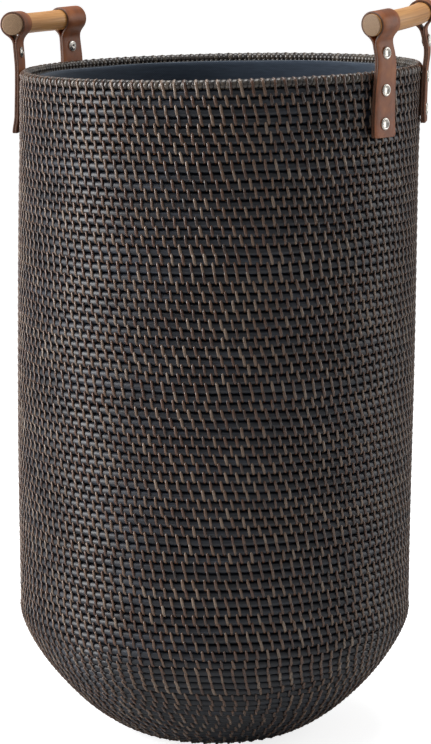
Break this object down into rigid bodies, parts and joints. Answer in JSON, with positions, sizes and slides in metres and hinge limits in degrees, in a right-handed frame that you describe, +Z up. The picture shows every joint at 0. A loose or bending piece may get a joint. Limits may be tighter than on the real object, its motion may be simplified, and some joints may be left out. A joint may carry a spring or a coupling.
{
  "type": "laundry basket",
  "caption": "Tall round hamper of lashed rattan coils with a rounded foot, a sewn-in canvas liner and bent wooden grips in riveted leather straps.",
  "frame": {"origin": "centre of the flat woven base, on the floor", "axes": "+Z up along the hamper's height; the handles stand at +X and -X with their grips along Y; the front is -Y"},
  "size_m": [0.4227, 0.4018, 0.7434],
  "materials": {
    "coil_rattan": "dark espresso stained rattan core, satin",
    "lashing_rattan": "rubbed rattan peel lashing, satin",
    "liner_canvas": "matt plain-woven navy charcoal canvas",
    "liner_hem": "matt folded hem of the same canvas",
    "strap_leather": "brown harness leather, semi-matt with burnished edges",
    "grip_wood": "oiled light hardwood",
    "rivet_nickel": "nickel plated, softly polished"
  },
  "bodies": {
    "basket": {"woven_base": "coil_rattan", "woven_foot": "coil_rattan", "woven_wall": "coil_rattan", "rim_coil": "lashing_rattan", "liner_bag": "liner_canvas", "liner_hem_band": "liner_hem", "left_front_strap_tail": "strap_leather", "left_front_upper_rivet": "rivet_nickel", "left_front_lower_rivet": "rivet_nickel", "left_front_upper_burr": "rivet_nickel", "left_front_lower_burr": "rivet_nickel", "left_rear_strap_tail": "strap_leather", "left_rear_upper_rivet": "rivet_nickel", "left_rear_lower_rivet": "rivet_nickel", "left_rear_upper_burr": "rivet_nickel", "left_rear_lower_burr": "rivet_nickel", "right_front_strap_tail": "strap_leather", "right_front_upper_rivet": "rivet_nickel", "right_front_lower_rivet": "rivet_nickel", "right_front_upper_burr": "rivet_nickel", "right_front_lower_burr": "rivet_nickel", "right_rear_strap_tail": "strap_leather", "right_rear_upper_rivet": "rivet_nickel", "right_rear_lower_rivet": "rivet_nickel", "right_rear_upper_burr": "rivet_nickel", "right_rear_lower_burr": "rivet_nickel"},
    "left_handle": {"left_grip": "grip_wood", "left_front_strap_loop": "strap_leather", "left_front_loop_rivet": "rivet_nickel", "left_front_loop_burr": "rivet_nickel", "left_rear_strap_loop": "strap_leather", "left_rear_loop_rivet": "rivet_nickel", "left_rear_loop_burr": "rivet_nickel"},
    "right_handle": {"right_grip": "grip_wood", "right_front_strap_loop": "strap_leather", "right_front_loop_rivet": "rivet_nickel", "right_front_loop_burr": "rivet_nickel", "right_rear_strap_loop": "strap_leather", "right_rear_loop_rivet": "rivet_nickel", "right_rear_loop_burr": "rivet_nickel"}
  },
  "joints": [
    {"name": "left_handle_tilt", "type": "hinge", "parent": "basket", "child": "left_handle", "pos_m": [-0.18974, 0.00183, 0.67455], "axis": [0, -1, -0.0012], "range_deg": [-60, 60], "stiffness_Nm_per_rad": 0.15},
    {"name": "right_handle_tilt", "type": "hinge", "parent": "basket", "child": "right_handle", "pos_m": [0.19818, 0.00183, 0.68745], "axis": [0, 0.9987, 0.0501], "range_deg": [-60, 60], "stiffness_Nm_per_rad": 0.15}
  ]
}
